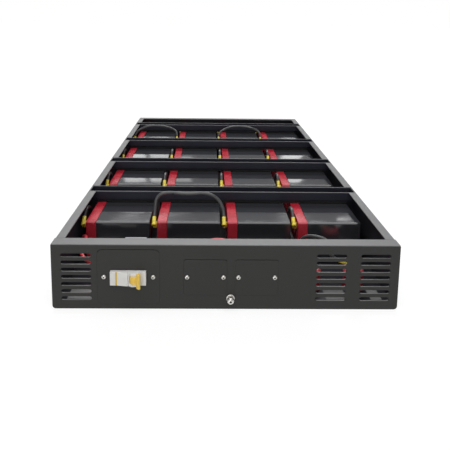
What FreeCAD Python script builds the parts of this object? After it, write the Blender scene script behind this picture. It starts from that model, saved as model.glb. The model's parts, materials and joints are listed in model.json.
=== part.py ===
import FreeCAD, Part
import math
import os
from FreeCAD import Vector

# Battery module for a rack-mounted uninterruptible power supply: an open steel tray
# with sixteen sealed 12 V batteries in series, a breaker and two output posts.
# Millimetres. X runs across the front, +Y to the rear, +Z up.
# The origin is the middle of the tray's underside.

# Batteries, each lying on its side with the lid to the left, and the room around them
battery_length = 151.0
battery_width = 65.0
battery_height = 94.0
lid_height = 14.6
lid_overhang = 0.4
battery_edge = 2.0
columns = 4
rows = 4
column_gap = 11.3
side_gap = 13.55
first_row = 109.0
row_gap = 8.25
rear_gap = 5.75

# Steel tray, folded round the batteries, and its clearances
tray_sheet = 1.5
bend_radius = 2.5
side_lip = 13.0
rear_lip = 12.0
sheet_gap = 0.2
front_tab_height = 60.0
front_tab_length = 14.0

# Front panel, a folded pan
panel_sheet = 2.0
panel_return = 18.0
panel_corner = 4.5
panel_bend = 2.0

# Vent slots in the front panel
slot_length = 38.5
slot_height = 5.0
slot_pitch = 9.6
slot_rows = 7
slot_end_steps = 2
slot_margin_left = 31.0
slot_margin_right = 30.5
slot_group_step = 56.0

# Plates that lie flush in pressed recesses of the panel
plate_sheet = 1.5
plate_gap = 0.5
window_ledge = 6.0
breaker_plate_size = (78.0, 73.0)
breaker_plate_margin = 96.8
breaker_plate_corner = 6.0
breaker_screw_span = 62.0
cover_plate_size = (54.0, 47.0)
cover_plate_x = {"left": -26.3, "right": 38.8}
cover_plate_corner = 2.5
cover_screw_span = 46.0

# Small round pieces have this many sides, and the plates' corners this many chords
fastener_sides = 8
corner_steps = 3

# Screws of the plates
screw_radius = 1.5
screw_head_radius = 2.9
screw_head_height = 1.7
screw_head_rim = 0.85
screw_head_crown = 1.8
screw_length = 8.0
screw_gap = 0.1

# Earthing screw
earth_x = 6.0
earth_z = 15.0
earth_radius = 2.5
earth_head_radius = 4.5
earth_head_height = 3.6
earth_head_rim = 1.8
earth_head_crown = 3.0
earth_washer_radius = 5.2
earth_washer_height = 1.2
earth_nut_width = 8.0
earth_nut_height = 4.6
earth_length = 16.0

# Breaker, one module wide, lying on its side
breaker_width = 17.8
breaker_nose = 45.0
breaker_proud = 6.5
breaker_end_proud = 4.5
breaker_end_share = 0.6
breaker_seam = 1.0
breaker_shoulder = 17.0
breaker_step = 2.0
breaker_ramp = 6.0
breaker_body = 80.0
breaker_back = 59.0
breaker_gap = 0.4
toggle_offset = 8.0
toggle_sunk = 2.2
toggle_drum_radius = 5.6
toggle_drum_width = 9.4
toggle_width = 18.8
toggle_neck = 5.8
toggle_flare = 9.0
toggle_reach = 11.5
toggle_thickness = 4.2
toggle_tip = 3.6
toggle_tilt = 45.0
toggle_gap = 0.4
guard_rise = 1.5
guard_half = 5.0
guard_slope = 1.5
lead_entry_depth = 32.0

# Upright mounting rail behind the breaker
rail_width = 35.0
rail_hat = 27.0
rail_depth = 7.5
rail_sheet = 1.0
rail_top = 65.4
rail_foot = 30.0
rail_gap = 0.2
rail_grip = 3.0

# Output posts: moulded insulators with a threaded stud
post_margins = (102.0, 43.0)
post_depth = 48.0
post_radius = 14.5
post_top_radius = 12.0
post_waist_radius = 13.0
post_height = 30.0
post_groove = 15.0
post_sides = 8
stud_radius = 3.0
stud_length = 17.0
stud_nut_width = 10.0
stud_nut_height = 5.0
lug_sheet = 1.0
lug_radius = 6.0
lug_barrel = 14.0
lug_lean = 20.0
lug_neck = 5.0
lug_neck_gap = 1.0

# Battery tabs and their crimped connectors
tab_inset = 9.5
tab_drop = 8.0
tab_width = 6.35
tab_sheet = 0.8
tab_length = 6.0
tab_gap = 0.15
receptacle_width = 9.0
receptacle_thickness = 4.6
receptacle_end = 1.0
receptacle_stop = 1.0
barrel_radius = 3.3
barrel_length = 13.5
barrel_offset = 5.4
barrel_lift = 5.5
barrel_slide = -0.3

# Hold-down bars, each on a strip of foam
bar_width = 25.0
bar_height = 14.0
bar_sheet = 1.5
bar_offset = 73.0
bar_notch_gap = 0.6
pad_width = 20.0
pad_thickness = 5.5
bar_screw_radius = 1.7
bar_screw_head_radius = 3.3
bar_screw_length = 8.0
bar_screw_sides = 6

# Leads; those low in the gaps have fewer faces
lead_radius = 2.5
lead_sides = 6
lead_arc_step = 38.0
link_sides = 4
link_arc_step = 60.0
arc_share = 0.45

# How far a cutting block runs past the faces that it cuts
overcut = 1.0

# Two lengths that differ by less are the same
tiny = 0.01

tray_width = 2 * (tray_sheet + side_gap) + columns * battery_height + (columns - 1) * column_gap
tray_depth = first_row + rows * battery_length + (rows - 1) * row_gap + rear_gap + tray_sheet
tray_height = tray_sheet + battery_width + pad_thickness + bar_height
front = -tray_depth / 2
rear = tray_depth / 2
half_width = tray_width / 2
mid_height = tray_height / 2
floor = tray_sheet
battery_top = floor + battery_width
column_pitch = battery_height + column_gap
row_pitch = battery_length + row_gap
breaker_plate_x = -half_width + breaker_plate_margin
nose_front = front - breaker_proud
toggle_axis = Vector(breaker_plate_x + toggle_offset, nose_front + toggle_sunk, mid_height)


def block(low, high):
    size = high.sub(low)
    return Part.makeBox(size.x, size.y, size.z, low)


def rounded_sheet(middle, size, corner, thickness, steps=corner_steps):
    """A sheet facing the front, with round corners stepped round by a few chords."""
    points = []
    for quarter, (side_x, side_z) in enumerate(((1, 1), (-1, 1), (-1, -1), (1, -1))):
        centre = middle + Vector(side_x * (size[0] / 2 - corner), 0, side_z * (size[1] / 2 - corner))
        for step in range(steps + 1):
            angle = math.pi / 2 * (quarter + step / steps)
            points.append(centre + Vector(math.cos(angle), 0, math.sin(angle)) * corner)
    outline = Part.makePolygon(points + points[:1])
    return Part.Face(outline).extrude(Vector(0, thickness, 0))


def ring(radius, base, direction, sides):
    """An even-sided ring about a point, with its corners on the radius."""
    turn = FreeCAD.Rotation(Vector(0, 0, 1), direction)
    spokes = []
    for i in range(sides + 1):
        angle = 2 * math.pi * i / sides
        spokes.append(base + turn.multVec(Vector(math.cos(angle), math.sin(angle), 0) * radius))
    return Part.makePolygon(spokes)


def rod(radius, height, base, direction, sides=fastener_sides):
    """A prism that stands for a small round piece, with few faces."""
    along = Vector(direction).normalize() * height
    return Part.Face(ring(radius, base, direction, sides)).extrude(along)


def stud_hole(height, base, direction):
    """The few-sided hole that clears a round stud."""
    clear = (stud_radius + screw_gap) / math.cos(math.pi / fastener_sides)
    return rod(clear, height, base, direction)


def hexagon(width, height, base, direction):
    """A hexagonal prism, width across its flats, with its base at a point."""
    return rod(width / math.sqrt(3), height, base, direction, 6)


def skin(rings):
    """A solid between even-sided rings, closed at both ends."""
    corners = [[v.Point for v in wire.OrderedVertexes] for wire in rings]
    faces = [Part.Face(rings[0]), Part.Face(rings[-1])]
    for near, far in zip(corners, corners[1:]):
        for i in range(len(near)):
            quad = [near[i - 1], near[i], far[i], far[i - 1], near[i - 1]]
            faces.append(Part.Face(Part.makePolygon(quad)))
    shell = Part.makeShell(faces)
    shell.sewShape()
    solid = Part.makeSolid(shell)
    if solid.Volume < 0:
        solid.reverse()
    return solid


def turned(base, direction, profile, sides):
    """A turned piece with few faces; the profile gives radius and height from the base up."""
    return skin([ring(radius, base + direction * height, direction, sides) for radius, height in profile])


def tray():
    """One folded sheet: floor, sides and rear wall, with lips turned inward at the top."""
    start = front + panel_return + sheet_gap
    outer = block(Vector(-half_width, start, 0), Vector(half_width, rear, tray_height))
    long_edges = [e for e in outer.Edges if abs(e.tangentAt(e.FirstParameter).y) > 0.99]
    outer = outer.makeFillet(bend_radius, long_edges)
    inside = half_width - tray_sheet
    cavity = block(
        Vector(-inside, start - overcut, tray_sheet),
        Vector(inside, rear - tray_sheet, tray_height - tray_sheet),
    )
    mouth = block(
        Vector(-half_width + side_lip, start - overcut, mid_height),
        Vector(half_width - side_lip, rear - rear_lip, tray_height + overcut),
    )
    screw_holes = [bar_screw(place, way, screw_gap) for place, way in bar_screw_places()]
    shell = outer.cut([cavity, mouth] + lip_notches() + screw_holes)
    return shell.fuse(front_tabs(start)).removeSplitter()


def lip_notches():
    """Gaps in the side lips that take the ends of the hold-down bars."""
    notches = []
    for row in range(rows):
        near = bar_front(row) - bar_notch_gap
        far = bar_front(row) + bar_width + bar_notch_gap
        for side in (-1, 1):
            ends = sorted((side * (half_width - side_lip - overcut), side * (half_width - tray_sheet)))
            notches.append(block(
                Vector(ends[0], near, mid_height),
                Vector(ends[1], far, tray_height + overcut),
            ))
    return notches


def front_tabs(start):
    """Stepped tabs that reach into the front panel's side returns."""
    face = half_width - panel_sheet - sheet_gap
    low = mid_height - front_tab_height / 2
    high = mid_height + front_tab_height / 2
    tabs = []
    for side in (-1, 1):
        ends = sorted((side * face, side * (face - tray_sheet)))
        tabs.append(block(
            Vector(ends[0], start - front_tab_length, low),
            Vector(ends[1], start + tray_sheet, high),
        ))
        step = sorted((side * (face - tray_sheet), side * (half_width - tray_sheet / 2)))
        tabs.append(block(Vector(step[0], start, low), Vector(step[1], start + tray_sheet, high)))
    return tabs


def plate_block(centre_x, size, corner, grow, near, far):
    """A block of a plate's outline, grown all round, between two depths behind the face."""
    grown = (size[0] + 2 * grow, size[1] + 2 * grow)
    return rounded_sheet(Vector(centre_x, front + near, mid_height), grown, corner + grow, far - near)


def plates():
    """Each plate: its middle, size, corner radius and the span of its two screws."""
    listed = {}
    listed["breaker_plate"] = (breaker_plate_x, breaker_plate_size, breaker_plate_corner, breaker_screw_span)
    for side, centre in cover_plate_x.items():
        listed["cover_plate_" + side] = (centre, cover_plate_size, cover_plate_corner, cover_screw_span)
    return listed


def screw_places():
    places = []
    for centre, size, corner, span in plates().values():
        places += [Vector(centre + s * span / 2, front, mid_height) for s in (-1, 1)]
    return places


def front_panel():
    """A pan with vent slots, and a pressed recess with a window behind each plate."""
    pan = block(Vector(-half_width, front, 0), Vector(half_width, front + panel_return, tray_height))
    corners = [e for e in pan.Edges if e.CenterOfMass.z < tiny and abs(e.tangentAt(0).y) > 1 - tiny]
    pan = pan.makeFillet(panel_corner, corners)
    face_edges = [e for e in pan.Edges if e.CenterOfMass.y < front + tiny]
    top_bend = [e for e in face_edges if e.CenterOfMass.z > tray_height - tiny]
    pan = pan.makeFillet(panel_bend, top_bend)
    hollow = block(
        Vector(-half_width + panel_sheet, front + panel_sheet, panel_sheet),
        Vector(half_width - panel_sheet, front + panel_return + overcut, tray_height - panel_sheet),
    )
    pan = pan.cut(hollow)
    recess_back = plate_sheet + panel_sheet
    recess_grow = plate_gap + panel_sheet
    for centre, size, corner, span in plates().values():
        pan = pan.fuse(plate_block(centre, size, corner, recess_grow, panel_sheet / 2, recess_back))
        pan = pan.cut(plate_block(centre, size, corner, plate_gap, -overcut, plate_sheet))
        half = Vector(span / 2 - window_ledge, 0, size[1] / 2 - window_ledge)
        middle = Vector(centre, front, mid_height)
        pan = pan.cut(block(middle - half, middle + half + Vector(0, panel_return, 0)))
    inward = Vector(0, 1, 0)
    holes = [rod(screw_radius + screw_gap, panel_return, p, inward) for p in screw_places()]
    earth = rod(earth_radius + screw_gap, panel_return, Vector(earth_x, front - overcut, earth_z), inward)
    return pan.cut(slots() + holes + [earth])


def slots():
    """Cutters for the vents: one group beside the left edge and two beside the right."""
    right = half_width - slot_margin_right
    groups = (-half_width + slot_margin_left, right - slot_group_step, right)
    size = (slot_length, slot_height)
    depth = panel_sheet + 2 * overcut
    middle_row = (slot_rows - 1) / 2
    cutters = []
    for centre in groups:
        for row in range(slot_rows):
            place = Vector(centre, front - overcut, mid_height + (row - middle_row) * slot_pitch)
            cutters.append(rounded_sheet(place, size, slot_height / 2, depth, slot_end_steps))
    return cutters


def plate(name):
    centre, size, corner, span = plates()[name]
    sheet = plate_block(centre, size, corner, 0, 0, plate_sheet)
    for side in (-1, 1):
        place = Vector(centre + side * span / 2, front - overcut, mid_height)
        sheet = sheet.cut(rod(screw_radius + screw_gap, plate_sheet + 2 * overcut, place, Vector(0, 1, 0)))
    if name == "breaker_plate":
        half = Vector(breaker_nose / 2 + breaker_gap, plate_sheet + overcut, breaker_width / 2 + breaker_gap)
        middle = Vector(centre, front, mid_height)
        sheet = sheet.cut(block(middle - half, middle + half))
    return sheet


def plate_screws():
    """Pan-head screws, their heads on the face of the plates."""
    screws = []
    for place in screw_places():
        outward = Vector(0, -1, 0)
        head = [
            (screw_head_radius, 0),
            (screw_head_radius, screw_head_rim),
            (screw_head_crown, screw_head_height),
        ]
        shank = rod(screw_radius, screw_length, place, outward * -1)
        screws.append(turned(place, outward, head, fastener_sides).fuse(shank).removeSplitter())
    return Part.makeCompound(screws)


def earth_terminal():
    """A washer and a nut against the panel, and the round-headed earthing screw through them."""
    inward = Vector(0, 1, 0)
    outward = Vector(0, -1, 0)
    place = Vector(earth_x, front, earth_z)
    bore = rod(earth_radius + screw_gap, 2 * panel_return, place + outward * panel_return, inward)
    washer = rod(earth_washer_radius, earth_washer_height, place, outward)
    nut_seat = place + outward * earth_washer_height
    nut = hexagon(earth_nut_width, earth_nut_height, nut_seat, outward)
    head_seat = nut_seat + outward * earth_nut_height
    crown = [
        (earth_head_radius, 0),
        (earth_head_radius, earth_head_rim),
        (earth_head_crown, earth_head_height),
    ]
    head = turned(head_seat, outward, crown, fastener_sides)
    shank = rod(earth_radius, earth_length, head_seat, inward)
    return Part.makeCompound([washer.cut(bore), nut.cut(bore), head.fuse(shank).removeSplitter()])


def breaker_outline():
    """The breaker's profile: a narrow nose with a seam beside the toggle, terminal shoulders and the back."""
    nose = breaker_nose / 2
    body = breaker_body / 2
    shoulder = front + breaker_shoulder
    ramp_start = shoulder + breaker_step
    end_front = front - breaker_end_proud
    drum_half = toggle_drum_radius + 3 * toggle_gap
    seam_right = toggle_offset - drum_half
    seam_left = seam_right - breaker_seam
    face = [
        Vector(-breaker_end_share * nose, end_front, 0),
        Vector(seam_left, nose_front, 0),
        Vector(seam_left, end_front, 0),
        Vector(seam_right, end_front, 0),
        Vector(seam_right, nose_front, 0),
        Vector(toggle_offset + drum_half, nose_front, 0),
        Vector(toggle_offset + drum_half, end_front, 0),
    ]
    right = [
        Vector(nose, end_front, 0),
        Vector(nose, shoulder, 0),
        Vector(body - breaker_ramp, ramp_start, 0),
        Vector(body, ramp_start + breaker_ramp, 0),
        Vector(body, front + breaker_back, 0),
    ]
    left = [Vector(-p.x, p.y, 0) for p in reversed(right)]
    return right + left + face + right[:1]


def toggle_guards():
    """A raised cheek at each end of the toggle's drum."""
    top = nose_front - guard_rise
    outline = [
        Vector(guard_half, nose_front + overcut, 0),
        Vector(guard_half, nose_front, 0),
        Vector(guard_half - guard_slope, top, 0),
        Vector(guard_slope - guard_half, top, 0),
        Vector(-guard_half, nose_front, 0),
        Vector(-guard_half, nose_front + overcut, 0),
    ]
    room_half = toggle_drum_width / 2 + toggle_gap
    thickness = breaker_width / 2 - room_half
    guards = []
    for low_z in (mid_height - breaker_width / 2, mid_height + room_half):
        base = Vector(toggle_axis.x, 0, low_z)
        edge = Part.makePolygon([base + p for p in outline + outline[:1]])
        guards.append(Part.Face(edge).extrude(Vector(0, 0, thickness)))
    return guards


def breaker_housing():
    """The moulded case: a narrow nose, wider terminal shoulders and a clip for the rail."""
    base = Vector(breaker_plate_x, 0, mid_height - breaker_width / 2)
    profile = Part.makePolygon([base + p for p in breaker_outline()])
    housing = Part.Face(profile).extrude(Vector(0, 0, breaker_width)).fuse(toggle_guards())
    drum_room = Part.makeCylinder(
        toggle_drum_radius + toggle_gap,
        toggle_drum_width + 2 * toggle_gap,
        toggle_axis - Vector(0, 0, toggle_drum_width / 2 + toggle_gap),
        Vector(0, 0, 1),
    )
    back = front + breaker_back
    seat = back - rail_grip - rail_sheet - rail_gap
    low_z = mid_height - breaker_width
    high_z = mid_height + breaker_width
    flange_half = rail_width / 2 + rail_gap
    neck_half = rail_hat / 2 + rail_sheet + rail_gap
    flange_slot = block(
        Vector(breaker_plate_x - flange_half, seat, low_z),
        Vector(breaker_plate_x + flange_half, back - rail_grip, high_z),
    )
    neck_slot = block(
        Vector(breaker_plate_x - neck_half, seat, low_z),
        Vector(breaker_plate_x + neck_half, back + overcut, high_z),
    )
    return housing.cut([drum_room, flange_slot, neck_slot]).removeSplitter()


def breaker_toggle():
    """A drum on the hinge axis and a paddle that flares past its neck, tilted right as it rests."""
    low = -toggle_width / 2
    drum_low = -toggle_drum_width / 2
    drum = Part.makeCylinder(toggle_drum_radius, toggle_drum_width, Vector(0, 0, drum_low))
    root = toggle_thickness / 2
    tip = toggle_tip / 2
    side = [Vector(root, 0, low), Vector(tip, tip - toggle_reach, low)]
    outline = Part.Wire([
        Part.LineSegment(Vector(-root, 0, low), side[0]).toShape(),
        Part.LineSegment(side[0], side[1]).toShape(),
        Part.Arc(side[1], Vector(0, -toggle_reach, low), Vector(-tip, tip - toggle_reach, low)).toShape(),
        Part.LineSegment(Vector(-tip, tip - toggle_reach, low), Vector(-root, 0, low)).toShape(),
    ])
    paddle = Part.Face(outline).extrude(Vector(0, 0, toggle_width))
    flare = [
        Vector(-toggle_reach, toggle_reach, drum_low),
        Vector(-toggle_reach, -toggle_neck, drum_low),
        Vector(-toggle_reach, -toggle_flare, low),
        Vector(-toggle_reach, -toggle_flare, low - overcut),
        Vector(-toggle_reach, toggle_reach, low - overcut),
    ]
    beside = []
    for end in (1, -1):
        edge = Part.makePolygon([Vector(p.x, p.y, end * p.z) for p in flare + flare[:1]])
        beside.append(Part.Face(edge).extrude(Vector(2 * toggle_reach, 0, 0)))
    toggle = drum.fuse(paddle.cut(beside)).removeSplitter()
    toggle.Placement = FreeCAD.Placement(toggle_axis, FreeCAD.Rotation(Vector(0, 0, 1), toggle_tilt))
    return toggle


def breaker_rail():
    """A length of top-hat rail standing on a folded foot."""
    seat = front + breaker_back - rail_grip - rail_sheet - rail_gap / 2
    half = rail_width / 2
    hat = rail_hat / 2
    right = [
        Vector(half, seat, 0),
        Vector(half, seat + rail_sheet, 0),
        Vector(hat + rail_sheet, seat + rail_sheet, 0),
        Vector(hat + rail_sheet, seat + rail_depth, 0),
    ]
    inner = [Vector(hat, seat + rail_depth - rail_sheet, 0), Vector(hat, seat, 0)]
    left = [Vector(-p.x, p.y, 0) for p in reversed(right)]
    inner_left = [Vector(-p.x, p.y, 0) for p in reversed(inner)]
    outline = right + left + inner_left + inner + right[:1]
    base = Vector(breaker_plate_x, 0, floor)
    rail = Part.Face(Part.makePolygon([base + p for p in outline])).extrude(Vector(0, 0, rail_top - floor))
    foot_front = seat + rail_depth - rail_sheet
    foot = block(
        Vector(breaker_plate_x - half, foot_front, floor),
        Vector(breaker_plate_x + half, foot_front + rail_foot, floor + rail_sheet),
    )
    return rail.fuse(foot).removeSplitter()


def post_base(index):
    return Vector(half_width - post_margins[index], front + post_depth, floor)


def post_insulator(index):
    """An eight-sided insulator with a groove at its waist and a sloping top edge."""
    chamfer = post_radius - post_top_radius
    lip = post_radius - post_waist_radius
    profile = [
        (post_radius, 0),
        (post_radius, post_groove - 2 * lip),
        (post_waist_radius, post_groove - lip),
        (post_waist_radius, post_groove),
        (post_radius, post_groove + lip),
        (post_radius, post_height - 2 * chamfer),
        (post_top_radius, post_height),
    ]
    return turned(post_base(index), Vector(0, 0, 1), profile, post_sides)


def post_hardware():
    """A stud on each post, round where it is free above the nut that clamps the lead's ring."""
    pieces = []
    up = Vector(0, 0, 1)
    held = lug_sheet + stud_nut_height
    for index in range(len(post_margins)):
        top = post_base(index) + up * post_height
        nut = hexagon(stud_nut_width, stud_nut_height, top + up * lug_sheet, up)
        pieces.append(nut.cut(stud_hole(stud_length, top, up)))
        free_end = Part.makeCylinder(stud_radius, stud_length - held, top + up * held, up)
        pieces.append(rod(stud_radius, held, top, up).fuse(free_end))
    return Part.makeCompound(pieces)


def hex_barrel(centre, direction, length):
    """A six-sided crimp barrel about a point."""
    return hexagon(2 * barrel_radius, length, centre - direction * (length / 2), direction)


def lug_lead_end(index):
    """Where a lead enters the post's lug, and the way the barrel points there."""
    top = post_base(index) + Vector(0, 0, post_height)
    lean = Vector(-math.cos(math.radians(lug_lean)), 0, math.sin(math.radians(lug_lean)))
    barrel_start = top + Vector(-lug_radius - lug_neck_gap, 0, barrel_radius + lug_sheet)
    return barrel_start + lean * lug_barrel, lean


def ring_lug(index):
    """A ring under the nut, and a crimp barrel that leans up to the left."""
    up = Vector(0, 0, 1)
    top = post_base(index) + up * post_height
    eye = rod(lug_radius, lug_sheet, top, up)
    end, lean = lug_lead_end(index)
    barrel = hex_barrel(end - lean * (lug_barrel / 2), lean, lug_barrel)
    neck_half = Vector(0, lug_neck / 2, 0)
    neck_left = top - Vector(lug_radius + lug_barrel / 2, 0, 0)
    neck = block(neck_left - neck_half, top + neck_half + up * lug_sheet)
    bore = stud_hole(lug_sheet + 2 * overcut, top - up * overcut, up)
    return barrel.fuse([eye, neck]).cut(bore).removeSplitter()


def lid_face(column):
    return -half_width + tray_sheet + side_gap + column * column_pitch


def row_front(row):
    return front + first_row + row * row_pitch


def bar_front(row):
    return row_front(row) + bar_offset


def hold_down_bar(row):
    """A channel, open upward, with its ends turned up against the side walls."""
    half = half_width - tray_sheet
    near = bar_front(row)
    top = tray_height
    low = top - bar_height
    channel = block(Vector(-half, near, low), Vector(half, near + bar_width, top))
    trough = block(
        Vector(-half + bar_sheet, near + bar_sheet, low + bar_sheet),
        Vector(half - bar_sheet, near + bar_width - bar_sheet, top + overcut),
    )
    holes = [bar_screw(place, way, screw_gap) for place, way in bar_screw_places()]
    return channel.cut([trough] + holes)


def bar_screw_places():
    """Where each bar's end screw enters the side wall, and the way it points."""
    places = []
    height = tray_height - bar_height / 2
    for row in range(rows):
        middle = bar_front(row) + bar_width / 2
        places += [(Vector(side * half_width, middle, height), Vector(-side, 0, 0)) for side in (-1, 1)]
    return places


def bar_screw(place, way, grow):
    """A screw with its head sunk flush in the side wall, or the hole for it when grown."""
    profile = [
        (bar_screw_head_radius + grow, -grow),
        (bar_screw_head_radius + grow, 0),
        (bar_screw_radius + grow, tray_sheet),
        (bar_screw_radius + grow, bar_screw_length + grow),
    ]
    return turned(place, way, profile if grow else profile[1:], bar_screw_sides)


def bar_pads():
    """Foam between each bar and the batteries under it."""
    pads = []
    half = half_width - tray_sheet - side_gap
    for row in range(rows):
        near = bar_front(row) + (bar_width - pad_width) / 2
        pads.append(block(
            Vector(-half, near, battery_top),
            Vector(half, near + pad_width, tray_height - bar_height),
        ))
    return Part.makeCompound(pads)


def battery_block(low, high):
    """A moulded block with its long edges broken."""
    solid = block(low, high)
    edges = [e for e in solid.Edges if abs(e.tangentAt(e.FirstParameter).x) > 0.99]
    return solid.makeChamfer(battery_edge, edges)


def battery_case(row, column):
    left = lid_face(column) + lid_height
    right = lid_face(column) + battery_height
    low = Vector(left, row_front(row) + lid_overhang, floor)
    high = Vector(right, row_front(row) + battery_length - lid_overhang, battery_top - lid_overhang)
    return battery_block(low, high)


def battery_lid(row, column):
    left = lid_face(column)
    low = Vector(left, row_front(row), floor)
    high = Vector(left + lid_height, row_front(row) + battery_length, battery_top)
    return battery_block(low, high)


def tab_root(row, column, end):
    """The middle of a tab where it leaves the lid; end is front or rear."""
    inset = tab_inset if end == "front" else battery_length - tab_inset
    return Vector(lid_face(column), row_front(row) + inset, battery_top - tab_drop)


def terminal_tabs():
    tabs = []
    half = Vector(0, tab_sheet / 2, tab_width / 2)
    for row in range(rows):
        for column in range(columns):
            for end in ("front", "rear"):
                root = tab_root(row, column, end)
                tabs.append(block(root - half - Vector(tab_length, 0, 0), root + half))
    return Part.makeCompound(tabs)


def barrel_way(row, end):
    """The way a connector's barrel points towards its lead."""
    if end == "front":
        way = Vector(0, 1, 1)
    elif row < rows - 1:
        way = Vector(0, 1, -1)
    else:
        way = Vector(0, -1, -1)
    way.normalize()
    return way


def barrel_middle(row, column, end):
    way = barrel_way(row, end)
    lift = math.copysign(barrel_lift, way.z)
    return tab_root(row, column, end) + Vector(-barrel_offset, 0, lift) + way * barrel_slide


def lead_end(row, column, end):
    """Where a lead enters the connector on a tab."""
    return barrel_middle(row, column, end) + barrel_way(row, end) * (barrel_length / 2)


def tab_connector(row, column, end):
    """A flag connector: a receptacle on the tab and a crimp barrel across it."""
    root = tab_root(row, column, end)
    barrel = hex_barrel(barrel_middle(row, column, end), barrel_way(row, end), barrel_length)
    half = Vector(0, receptacle_thickness / 2, receptacle_width / 2)
    reach = Vector(tab_length + tab_gap + receptacle_end, 0, 0)
    sleeve = block(root - half - reach, root + half - Vector(receptacle_stop, 0, 0))
    slot_half = Vector(0, tab_sheet / 2 + tab_gap, tab_width / 2 + tab_gap)
    slot = block(root - slot_half - Vector(tab_length + tab_gap, 0, 0), root + slot_half)
    return barrel.fuse(sleeve).cut(slot).removeSplitter()


def crimp_connectors():
    connectors = []
    for row in range(rows):
        for column in range(columns):
            connectors += [tab_connector(row, column, end) for end in ("front", "rear")]
    connectors += [ring_lug(index) for index in range(len(post_margins))]
    return Part.makeCompound(connectors)


def lead(points, sides=lead_sides, arc_step=lead_arc_step):
    """Straight runs joined by tangent arcs, with an even-sided section of the true area."""
    corner_radius = lead_radius * math.sqrt(2 * math.pi / (sides * math.sin(2 * math.pi / sides)))
    section = ring(corner_radius, points[0], points[1].sub(points[0]), sides)
    rings = [section]
    place = points[0]
    radii = []
    length = 0.0
    for before, corner, after in zip(points, points[1:], points[2:]):
        run_in = corner.sub(before)
        run_out = after.sub(corner)
        reach = arc_share * min(run_in.Length, run_out.Length)
        way_in = run_in.normalize()
        way_out = run_out.normalize()
        bend = way_in.getAngle(way_out)
        radius = reach / math.tan(bend / 2)
        arc_start = corner - way_in * reach
        section = section.translated(arc_start - place)
        rings.append(section)
        axis = way_in.cross(way_out).normalize()
        centre = arc_start + axis.cross(way_in) * radius
        chords = math.ceil(math.degrees(bend) / arc_step)
        for chord in range(chords):
            section = section.copy()
            section.rotate(centre, axis, math.degrees(bend) / chords)
            rings.append(section)
        length += arc_start.sub(place).Length + radius * bend
        place = corner + way_out * reach
        radii.append(round(radius, 1))
    rings.append(section.translated(points[-1] - place))
    length += points[-1].sub(place).Length
    tube = skin(rings)
    expected = math.pi * lead_radius**2 * length
    print("lead radii", radii, "length", round(length), "volume ratio", round(tube.Volume / expected, 3))
    return tube


def steps(start, *moves):
    """A route that starts at a point and passes each given step away from it."""
    return [start] + [start + Vector(*move) for move in moves]


def front_loop(row, column):
    """The loop that a lead makes behind a front connector before it turns forward, low in the gap."""
    start = lead_end(row, column, "front")
    return steps(start, (0, 8.5, 8.5), (0, 29, 5), (0, 40, -11), (0, 30, -28), (0, 8, -35))


def column_links():
    """Leads that join the batteries of one column, low between the lids and the next cases."""
    links = []
    for column in range(columns):
        for row in range(rows - 2):
            rear_end = lead_end(row, column, "rear")
            route = front_loop(row + 1, column) + [rear_end + Vector(0, 12, -12), rear_end]
            links.append(lead(route, link_sides, link_arc_step))
        first = lead_end(rows - 2, column, "rear")
        second = lead_end(rows - 1, column, "rear")
        links.append(lead([
            first,
            first + Vector(0, 12, -12),
            first + Vector(0, 36, -16),
            (first + second) * 0.5 + Vector(0, 0, -18),
            second + Vector(0, -36, -16),
            second + Vector(0, -12, -12),
            second,
        ], link_sides, link_arc_step))
    return Part.makeCompound(links)


def front_arch_lead():
    """Rises over the second battery of the first row and sags a little in the middle."""
    left = lead_end(0, 1, "front")
    right = lead_end(0, 2, "front")
    return lead([
        left,
        left + Vector(0, 9, 9),
        left + Vector(2.5, 12, 28),
        left + Vector(18, 13, 34.5),
        left + Vector(51, 13, 30.5),
        right + Vector(-27, 13, 34),
        right + Vector(-9, 12, 25),
        right + Vector(0, 9, 9),
        right,
    ])


def rear_arch_lead(column):
    """Rises over a battery of the last row in one low arch, clear of the side lip."""
    left = lead_end(rows - 1, column, "front")
    right = lead_end(rows - 1, column + 1, "front")
    return lead([
        left,
        left + Vector(0, 8, 8),
        left + Vector(13, 14, 17),
        left + Vector(32, 14, 25),
        left + Vector(60, 14, 26),
        right + Vector(-22, 14, 22),
        right + Vector(-6, 14, 15),
        right + Vector(0, 8, 8),
        right,
    ])


def positive_lead():
    """From the first battery to the breaker's left terminal."""
    entry = Vector(breaker_plate_x - breaker_body / 2, front + lead_entry_depth, mid_height)
    gap = front_loop(0, 0)
    return lead(gap + [
        gap[-1] + Vector(0, -24, 10),
        gap[-1] + Vector(11, -34, 17),
        entry + Vector(-36, 18, 4),
        entry + Vector(-15, 0, 0),
        entry,
    ])


def breaker_lead():
    """From the breaker's right terminal, over a rise in the middle, to the left output post."""
    entry = Vector(breaker_plate_x + breaker_body / 2, front + lead_entry_depth, mid_height)
    end, lean = lug_lead_end(0)
    return lead([
        entry,
        entry + Vector(20, 0, 0),
        entry + Vector(48, 16, 20),
        entry + Vector(74, 24, 25),
        entry + Vector(104, 25, 14),
        entry + Vector(131, 22, 2),
        end + lean * 16,
        end,
    ])


def negative_lead():
    """From the last battery, forward out of the gap and over a rise to the right output post."""
    end, lean = lug_lead_end(1)
    gap = front_loop(0, columns - 1)
    return lead(gap + [
        gap[-1] + Vector(0, -24, 0),
        gap[-1] + Vector(2, -46, 12),
        gap[-1] + Vector(9, -60, 33),
        end + lean * 20 + Vector(7, 6, 20),
        end + lean * 16,
        end,
    ])


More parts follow.
